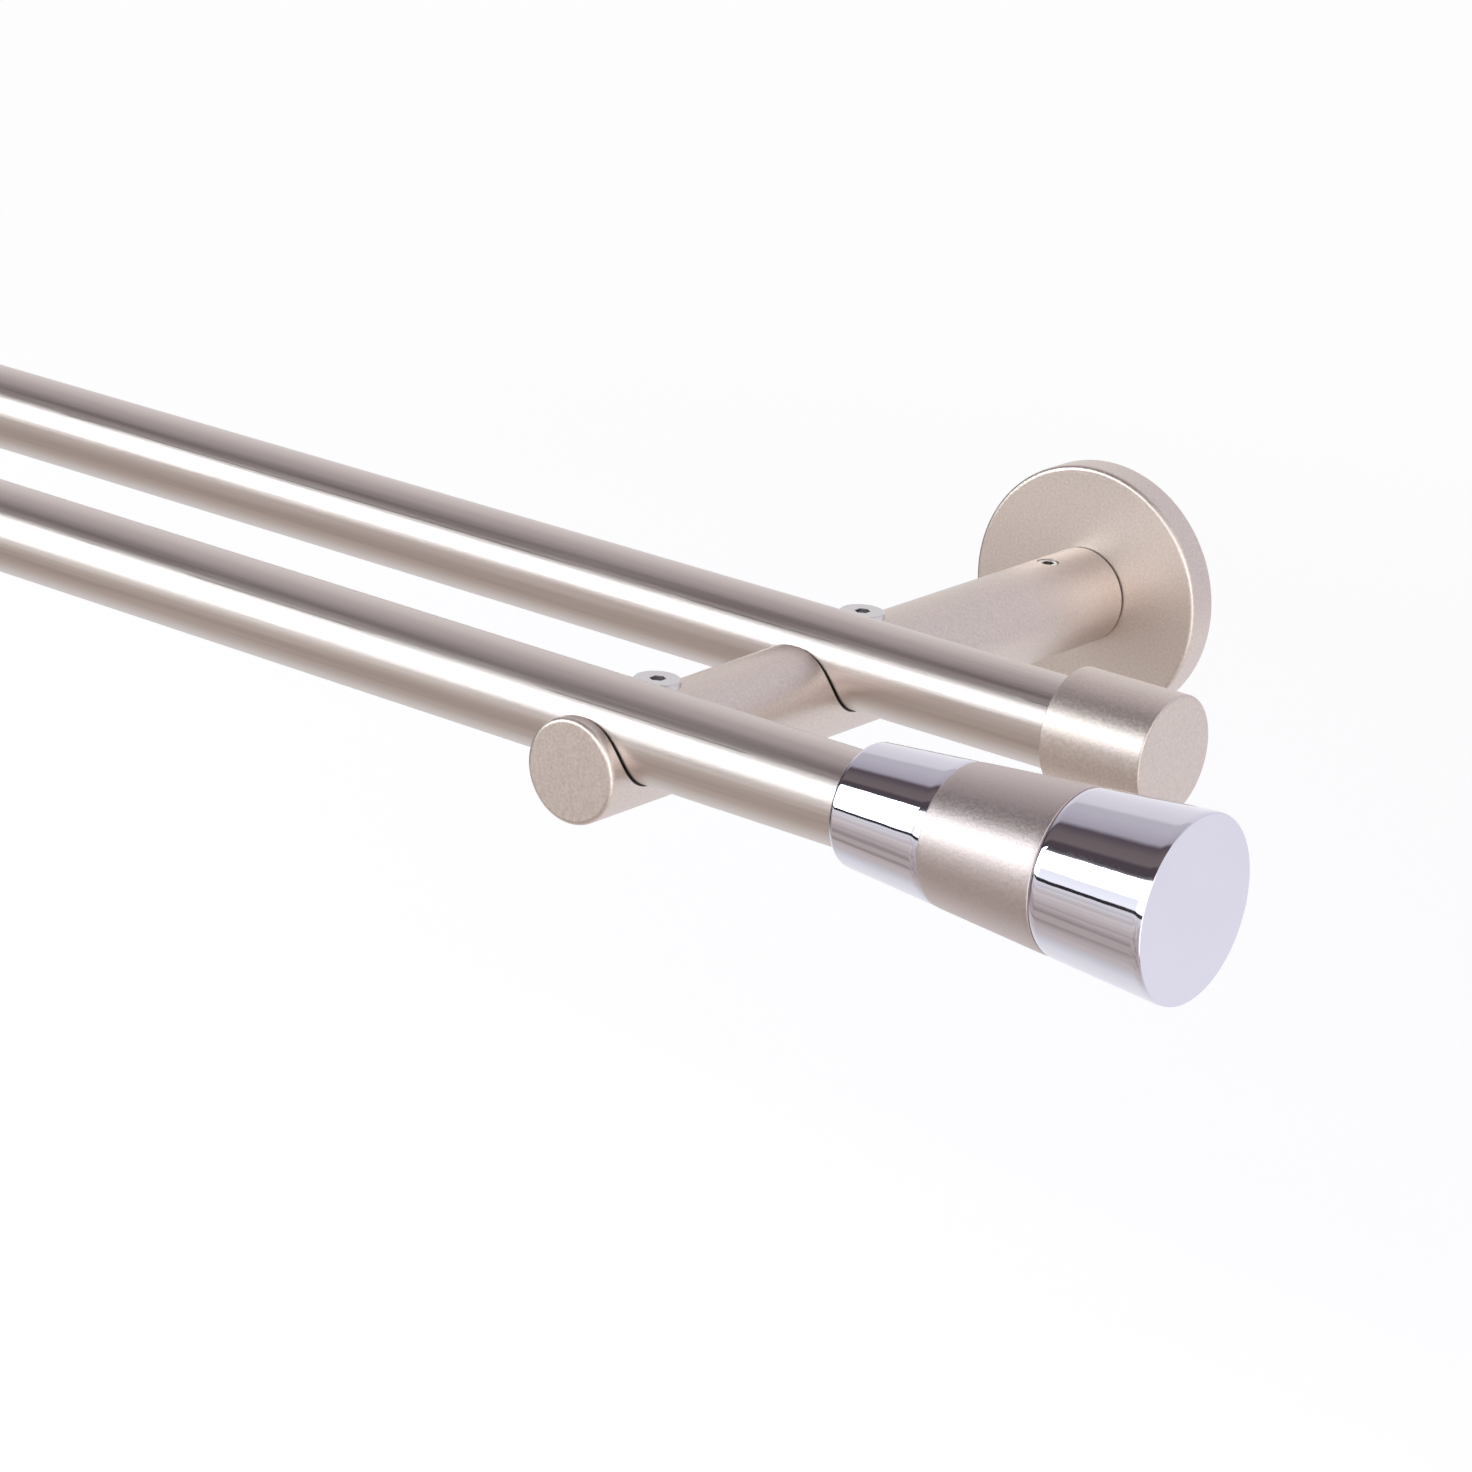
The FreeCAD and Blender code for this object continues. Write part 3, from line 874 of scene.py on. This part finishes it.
@dataclass
class Studio:
    """White sweep behind the object, a dim room in front and soft lights before it.

    Attributes:
        floor_height: Height of the floor in metres.
        floor_size: Width of the floor in metres.
        white: Level of the backdrop and of the far floor.
        tones: What reflections meet round the poles, with the backdrop's white behind them.
        left_level: Level of the room's left end.
        right_level: Level of the room's right end.
        cards: Pale cards at the right.
        light_front: Where the lights stand along Y in metres.
        lights: The soft lights.
        flags: Ends along X and Z of the black strips on the lights, in metres.
        flag_gap: Distance of those strips from the lights in metres.
        streak: Length across and width in degrees of the streaks in the dim lower room.
        streak_zone: Angle round which those streaks show, and how far from it they are full and end.
    """

    floor_height: float = -0.35
    floor_size: float = 24.0
    white: float = 0.985
    left_level: float = 0.06
    right_level: float = 0.5
    cards: tuple[Card, ...] = (
        Card((0.85, -0.38, 0.30), (0.60, 0.72), 0.95), Card((0.87, -0.48, -0.1), (0.80, 0.90), 1.6),
        Card((0.45, 0.80, 0.40), (0.68, 0.85), 0.84, "#F7F6FF"))
    light_front: float = -1.35
    lights: tuple[SoftLight, ...] = (
        SoftLight("key_light", (-2.4, -0.74), (-0.03, 1.17), 3.8),
        SoftLight("middle_light", (-0.74, -0.42), (-0.03, 0.96), 3.8),
        SoftLight("low_key_light", (-0.42, -0.16), (0.32, 0.96), 3.8),
        SoftLight("haze_light", (-0.42, -0.16), (0.03, 0.32), 0.35),
        SoftLight("fill_light", (-0.16, 2.4), (0.0, 0.96), 1.2))
    flags: tuple[tuple[float, float, float, float], ...] = ((-1.2, 1.0, -0.055, 0.035), (-1.3, -0.55, 0.20, 0.225))
    flag_gap: float = 0.01
    streak: tuple[float, float] = (0.22, 9.0)
    streak_zone: tuple[float, float, float] = (-38.0, 27.0, 36.0)
    tones: tuple[Tone, ...] = (
        Tone(-180, "#FDFDFD"), Tone(-143, "#F6F6FC"), Tone(-116, "#F3F3F3"), Tone(-100, "#EDEDED"),
        Tone(-88, "#DBDBDB"), Tone(-78, "#D2C9C4"), Tone(-68, "#D0C7C2"), Tone(-61, "#B9AFA8"),
        Tone(-54, "#BAAFA8"), Tone(-43, "#B8AEA8"), Tone(-29, "#C0B7B1"), Tone(-22, "#CDC5C0"),
        Tone(-15, "#DAD3CF"), Tone(-8, "#E8E6E5"), Tone(-2, "#F0F0F0"), Tone(20, "#DADADA"),
        Tone(41, "#7A7476"), Tone(43, "#544B4F"), Tone(53, "#544B4F"), Tone(57, "#7A706E"),
        Tone(68, "#766C6A"), Tone(76, "#665C60"), Tone(81, "#5E5459"), Tone(87, "#B4AEB4"),
        Tone(98, "#C2BCC2"), Tone(108, "#C9C5C9"), Tone(121, "#CBC8CB"), Tone(126, "#E6E4E6"),
        Tone(136, "#EAE8E9"), Tone(150, "#F0EEEF"), Tone(165, "#F5F4F5"), Tone(180, "#FDFDFD"))

    def world(self) -> None:
        """White for the camera, and the tones of the studio for everything else."""
        world = bpy.data.worlds.new("studio")
        bpy.context.scene.world = world
        world.use_nodes = True
        tree = world.node_tree
        tree.nodes.clear()
        way = add_node(tree, "ShaderNodeTexCoord").outputs["Generated"]
        parts = add_node(tree, "ShaderNodeSeparateXYZ", {0: way})
        out = add_node(tree, "ShaderNodeMath", {0: parts.outputs["Y"], 1: -1.0}, operation="MULTIPLY")
        angle = add_node(tree, "ShaderNodeMath", {0: parts.outputs["Z"], 1: out.outputs[0]}, operation="ARCTAN2")
        turn = add_node(tree, "ShaderNodeMath", {0: angle.outputs[0], 1: 1 / math.tau, 2: 0.5}, operation="MULTIPLY_ADD")
        ramp = add_node(tree, "ShaderNodeValToRGB", {"Fac": turn.outputs[0]})
        stops = ramp.color_ramp.elements
        while len(stops) < len(self.tones):
            stops.new(0.5)
        for stop, tone in zip(stops, self.tones):
            stop.position = tone.angle / 360 + 0.5
            stop.color = linear(tone.colour)
        sideways = add_node(tree, "ShaderNodeMapRange", {
            "Value": parts.outputs["X"], "From Min": -0.82, "From Max": -0.95}, interpolation_type="SMOOTHSTEP")
        level = (self.left_level,) * 3 + (1.0,)
        streaked = add_node(tree, "ShaderNodeVectorMath", {
            0: ramp.outputs["Color"], "Scale": self.streaks(tree, parts.outputs["X"], angle.outputs[0])}, operation="SCALE")
        room = add_node(tree, "ShaderNodeMix", {0: sideways.outputs[0], 6: streaked.outputs[0], 7: level},
                        data_type="RGBA")
        tones = room
        for card in self.cards:
            facing = add_node(tree, "ShaderNodeVectorMath", {0: way, 1: card.way}, operation="DOT_PRODUCT")
            begun, full = card.edge
            on_card = add_node(tree, "ShaderNodeMapRange", {
                "Value": facing.outputs["Value"], "From Min": begun, "From Max": full}, interpolation_type="SMOOTHSTEP")
            shade = tuple(light * card.level for light in linear(card.colour)[:3])
            tones = add_node(tree, "ShaderNodeMix", {
                0: on_card.outputs[0], 6: tones.outputs[2], 7: (*shade, 1.0)}, data_type="RGBA")
        right = add_node(tree, "ShaderNodeMapRange", {
            "Value": parts.outputs["X"], "From Min": 0.93, "From Max": 0.985}, interpolation_type="SMOOTHSTEP")
        tones = add_node(tree, "ShaderNodeMix", {
            0: right.outputs[0], 6: tones.outputs[2], 7: (self.right_level,) * 3 + (1.0,)}, data_type="RGBA")
        seen = add_node(tree, "ShaderNodeLightPath").outputs["Is Camera Ray"]
        white = (self.white,) * 3 + (1.0,)
        colour = add_node(tree, "ShaderNodeMix", {0: seen, 6: tones.outputs[2], 7: white}, data_type="RGBA")
        back = add_node(tree, "ShaderNodeBackground", {"Color": colour.outputs[2], "Strength": 1.0})
        add_node(tree, "ShaderNodeOutputWorld", {"Surface": back.outputs[0]})

    def streaks(self, tree: bpy.types.NodeTree, across: bpy.types.NodeSocket,
                angle: bpy.types.NodeSocket) -> bpy.types.NodeSocket:
        """Share of the tone that is left in the streaks of the dim lower room.

        Args:
            tree: World's tree.
            across: Direction along X.
            angle: Angle round the X axis in radians.

        Returns:
            Socket with the share, which is 1 away from the streaks.
        """
        length, width = self.streak
        middle_angle, full, end = (math.radians(value) for value in self.streak_zone)
        steps = add_node(tree, "ShaderNodeCombineXYZ", {
            "X": add_node(tree, "ShaderNodeMath", {0: across, 1: 1 / length}, operation="MULTIPLY").outputs[0],
            "Y": add_node(tree, "ShaderNodeMath", {0: angle, 1: 1 / math.radians(width)}, operation="MULTIPLY").outputs[0]})
        noise = add_node(tree, "ShaderNodeTexNoise", {"Vector": steps.outputs[0], "Scale": 1.0, "Detail": 3.0, "Distortion": 0.6})
        share = add_node(tree, "ShaderNodeMapRange", {
            "Value": noise.outputs["Fac"], "From Min": 0.35, "From Max": 0.65, "To Min": 0.76, "To Max": 1.18})
        offset = add_node(tree, "ShaderNodeMath", {0: angle, 1: middle_angle}, operation="SUBTRACT")
        away = add_node(tree, "ShaderNodeMath", {0: offset.outputs[0]}, operation="ABSOLUTE")
        zone = add_node(tree, "ShaderNodeMapRange", {"Value": away.outputs[0], "From Min": end, "From Max": full})
        return add_node(tree, "ShaderNodeMix", {0: zone.outputs[0], 2: 1.0, 3: share.outputs[0]},
                        data_type="FLOAT").outputs[0]

    def soft_light(self, light: SoftLight) -> None:
        """Hangs one of the soft lights."""
        width, height = light.span[1] - light.span[0], light.rise[1] - light.rise[0]
        lamp = bpy.data.lights.new(light.name, "AREA")
        lamp.shape = "RECTANGLE"
        lamp.size, lamp.size_y = width, height
        lamp.energy = light.level * math.pi * width * height
        lamp.color = linear(light.colour)[:3]
        holder = bpy.data.objects.new(light.name, lamp)
        bpy.context.scene.collection.objects.link(holder)
        holder.location = (sum(light.span) / 2, self.light_front, sum(light.rise) / 2)
        holder.rotation_euler = (math.pi / 2, 0.0, 0.0)
        holder.visible_camera = False

    def black_flags(self) -> None:
        """Black strips on the lights, which only reflections meet: the thin dark lines on the chrome."""
        corners, faces = [], []
        front = self.light_front + self.flag_gap
        for left, right, low, high in self.flags:
            start = len(corners)
            corners += [(left, front, low), (right, front, low), (right, front, high), (left, front, high)]
            faces.append(tuple(range(start, start + 4)))
        flag = self.stage_mesh("black_flags", corners, faces)
        for ray in ("camera", "diffuse", "transmission", "volume_scatter", "shadow"):
            setattr(flag, "visible_" + ray, False)
        made = bpy.data.materials.new("black felt")
        made.use_nodes = True
        tree = made.node_tree
        tree.nodes.clear()
        shader = add_node(tree, "ShaderNodeEmission", {"Color": linear("#302C30"), "Strength": 1.0})
        add_node(tree, "ShaderNodeOutputMaterial", {"Surface": shader.outputs[0]})
        flag.data.materials.append(made)

    def stage_mesh(self, name: str, corners: list[tuple[float, float, float]],
                   faces: list[tuple[int, ...]]) -> bpy.types.Object:
        """Mesh that belongs to the studio.

        Args:
            name: Name of the mesh.
            corners: Its points in metres.
            faces: Its faces by the numbers of their points.

        Returns:
            The object.
        """
        mesh = bpy.data.meshes.new(name)
        mesh.from_pydata(corners, [], faces)
        made = bpy.data.objects.new(name, mesh)
        bpy.context.scene.collection.objects.link(made)
        return made

    def floor(self) -> None:
        """Pale floor below the object, which keeps its shadow and fades into the white round it."""
        half = self.floor_size / 2
        corners = [(-half, -half, self.floor_height), (half, -half, self.floor_height),
                   (half, half, self.floor_height), (-half, half, self.floor_height)]
        floor = self.stage_mesh("floor", corners, [(0, 1, 2, 3)])
        floor.visible_glossy = False
        made = bpy.data.materials.new("pale matt paper")
        made.use_nodes = True
        tree = made.node_tree
        tree.nodes.clear()
        place = add_node(tree, "ShaderNodeTexCoord").outputs["Object"]
        reach = add_node(tree, "ShaderNodeVectorMath", {0: place}, operation="LENGTH").outputs["Value"]
        fade = add_node(tree, "ShaderNodeMapRange", {
            "Value": reach, "From Min": 0.6, "From Max": 1.6, "To Min": 0.0, "To Max": 1.0},
            interpolation_type="SMOOTHSTEP")
        path = add_node(tree, "ShaderNodeLightPath").outputs["Is Camera Ray"]
        seen_fade = add_node(tree, "ShaderNodeMath", {0: fade.outputs[0], 1: path}, operation="MULTIPLY")
        paper = add_node(tree, "ShaderNodeBsdfDiffuse", {"Color": linear("#E8E8E8")})
        lift = add_node(tree, "ShaderNodeMath", {0: path, 1: 0.40}, operation="MULTIPLY")
        glow = add_node(tree, "ShaderNodeEmission", {"Color": (1.0, 1.0, 1.0, 1.0), "Strength": lift.outputs[0]})
        near = add_node(tree, "ShaderNodeAddShader", {0: paper.outputs[0], 1: glow.outputs[0]})
        far = add_node(tree, "ShaderNodeEmission", {"Color": (self.white,) * 3 + (1.0,), "Strength": 1.0})
        sheet = add_node(tree, "ShaderNodeMixShader", {0: seen_fade.outputs[0], 1: near.outputs[0], 2: far.outputs[0]})
        under = add_node(tree, "ShaderNodeNewGeometry").outputs["Backfacing"]
        clear = add_node(tree, "ShaderNodeBsdfTransparent")
        both = add_node(tree, "ShaderNodeMixShader", {0: under, 1: sheet.outputs[0], 2: clear.outputs[0]})
        add_node(tree, "ShaderNodeOutputMaterial", {"Surface": both.outputs[0]})
        floor.data.materials.append(made)

    def build(self) -> None:
        """Sets up the world, the lights and the floor."""
        self.world()
        for light in self.lights:
            self.soft_light(light)
        self.black_flags()
        self.floor()
        bpy.context.scene.view_settings.view_transform = "Standard"
        LOG.info("set up the studio")


@dataclass(frozen=True)
class PhotoCamera:
    """Camera at the photograph's angle.

    Attributes:
        place: Where it stands in metres.
        azimuth: Degrees to the right of straight on.
        elevation: Degrees above the horizon.
        roll: Degrees that the picture is turned.
        focal: Focal length in pixels of a square picture.
        picture: Width of that picture in pixels.
        sensor: Width of the sensor in millimetres.
    """

    place: tuple[float, float, float] = (1.03647, -0.82115, 0.29005)
    azimuth: float = 37.1809
    elevation: float = 18.9759
    roll: float = 3.7813
    focal: float = 4303.66
    picture: float = 1472.0
    sensor: float = 36.0

    def build(self) -> None:
        """Makes the camera the scene's own."""
        side, rise, tilt = (math.radians(value) for value in (self.azimuth, self.elevation, self.roll))
        back = Vector((math.sin(side) * math.cos(rise), -math.cos(side) * math.cos(rise), math.sin(rise)))
        right = (-back).cross(Vector((0.0, 0.0, 1.0))).normalized()
        top = right.cross(-back)
        across = right * math.cos(tilt) + top * math.sin(tilt)
        upward = top * math.cos(tilt) - right * math.sin(tilt)
        data = bpy.data.cameras.new("photo_camera")
        data.sensor_width = self.sensor
        data.lens = self.focal / self.picture * self.sensor
        data.clip_start, data.clip_end = 0.05, 60.0
        camera = bpy.data.objects.new("photo_camera", data)
        bpy.context.scene.collection.objects.link(camera)
        turn = Matrix((across, upward, back)).transposed().to_4x4()
        camera.matrix_world = Matrix.Translation(self.place) @ turn
        bpy.context.scene.camera = camera
        LOG.info("placed the camera")


def finishes() -> dict[Slot, Finish]:
    """Finishes by slot of the record."""
    return {
        # Bead-blasted and nickel-plated steel: soft wide highlights, a warm grey and a fine even grain.
        Slot.SATIN: Finish("satin nickel plate", Slot.SATIN, "#F1E4DD", "#C6BAB3", (0.37, 0.45), 0.6, 0.6, 0.024),
        # Polished chrome plate: a cool mirror whose reflections waver a little.
        Slot.CHROME: Finish("polished chrome plate", Slot.CHROME, "#E4E2EE", "#DEDCE8", (0.03, 0.06), 14.0, 9.0, 0.04),
        # Pale plate on machined screws.
        Slot.SCREW: Finish("pale nickel plate", Slot.SCREW, "#DCD9DB", "#D1CED0", (0.26, 0.34), 1.2, 0.8, 0.002),
        # Barrel zinc plate: cool, dull and blotchy.
        Slot.ZINC: Finish("zinc plate", Slot.ZINC, "#CDCDCC", "#B0B0B0", (0.22, 0.34), 3.0, 0.8, 0.004),
    }


def arm_finish(side: Side) -> Finish:
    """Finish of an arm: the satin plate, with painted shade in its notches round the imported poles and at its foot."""
    axes = tuple((middle(name).y, middle(name).z) for name in ("rear_pole", "front_pole"))
    return NotchShadedFinish(f"satin nickel plate on {side.label} arm", Slot.SATIN, "#F1E4DD", "#C6BAB3",
                         (0.37, 0.45), 0.6, 0.6, 0.024, notches=axes)


def band_finish(side: Side) -> Finish:
    """Finish of a finial's band: the same blasted plate, a little darker and pinker than on the bracket."""
    return Finish(f"satin nickel plate on {side.label} band", Slot.SATIN, "#D8CBC9", "#C0B3B1",
                  (0.37, 0.45), 0.6, 0.6, 0.022)


def tube_finish(axis: Vector) -> Finish:
    """Finish of a tube: the same nickel plate over drawn steel, with faint lengthwise streaks and a weld.

    Args:
        axis: A point on the tube's axis.

    Returns:
        The finish, with the weld's line at its place round that axis.
    """
    return DrawnFinish("satin nickel plate on drawn tube", Slot.SATIN, "#DDD2CD", "#C9BEBA",
                       (0.30, 0.37), 0.7, 0.6, 0.03, axis=(axis.y, axis.z))


def build_all(workshop: Workshop) -> Iterable[str]:
    """Builds the sub-assemblies in order.

    Args:
        workshop: Maker of the pieces.

    Returns:
        Name of each sub-assembly as it is done.
    """
    for name in ("front_pole", "rear_pole"):
        Pole(name).build(workshop)
        yield name
    for side in Side:
        for part in (WallBracket(side), Finial(side), EndCap(side)):
            part.build(workshop)
            yield f"{side.label} {type(part).__name__}"


def main() -> None:
    """Builds the pieces, the studio and the camera."""
    logging.basicConfig(level=logging.INFO, format="%(message)s")
    workshop = Workshop(finishes())
    for name in build_all(workshop):
        LOG.info("finished %s", name)
    Studio().build()
    PhotoCamera().build()


if __name__ == "__main__":
    main()
